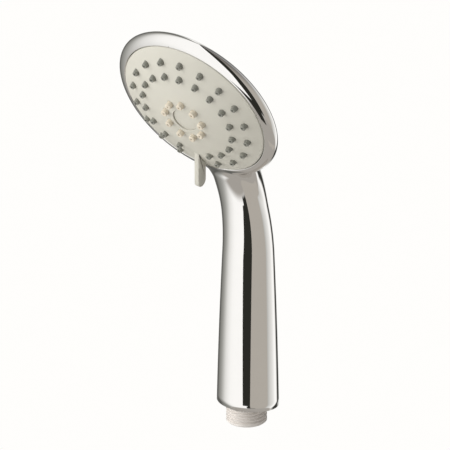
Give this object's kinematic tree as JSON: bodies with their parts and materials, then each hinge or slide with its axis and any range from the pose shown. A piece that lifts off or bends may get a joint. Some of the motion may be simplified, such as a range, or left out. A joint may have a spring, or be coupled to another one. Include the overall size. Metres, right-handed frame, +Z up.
{
  "type": "handheld shower head",
  "caption": "Handheld shower head: chromed oval handle swept into a round tilted head, domed face with silicone nozzles and centre jets, turned by a rim lever.",
  "frame": {"origin": "centre of the inlet's sealing face, where the hose washer seats", "axes": "+Z up along the handle's lower part, -Y towards the side that sprays, YZ the casing's mirror plane"},
  "size_m": [0.0886, 0.0776, 0.2178],
  "materials": {
    "chrome_plate": "bright chromed moulding",
    "face_plastic": "satin off-white moulded plastic",
    "grey_silicone": "matt grey silicone",
    "cream_silicone": "matt cream silicone",
    "grey_plastic": "moulded light grey plastic",
    "white_plastic": "natural white moulded plastic",
    "black_rubber": "black seal rubber",
    "steel": "stainless steel"
  },
  "bodies": {
    "handle": {"handle_shell": "chrome_plate", "inlet_connector": "grey_plastic", "inlet_filter": "white_plastic", "flow_regulator": "white_plastic", "regulator_oring": "black_rubber", "water_tube": "white_plastic", "tube_lower_oring": "black_rubber", "tube_upper_oring": "black_rubber", "head_manifold": "grey_plastic", "manifold_screws": "steel", "valve_seal": "black_rubber", "valve_spring": "steel", "spindle_oring": "black_rubber", "face_seal_ring": "black_rubber", "pivot_screw": "steel", "pivot_washer": "steel", "click_spring": "steel"},
    "spray_face": {"face_plate": "face_plastic", "nozzle_mat": "grey_silicone", "jet_mat": "cream_silicone", "distributor_plate": "white_plastic", "chamber_gasket": "black_rubber", "centre_cap": "face_plastic", "selector_lever": "face_plastic"}
  },
  "joints": [
    {"name": "face_turn", "type": "hinge", "parent": "handle", "child": "spray_face", "pos_m": [0, -0.0426, 0.1767], "axis": [0, -0.8796, -0.4756], "range_deg": [-24.5, 45.5]}
  ]
}
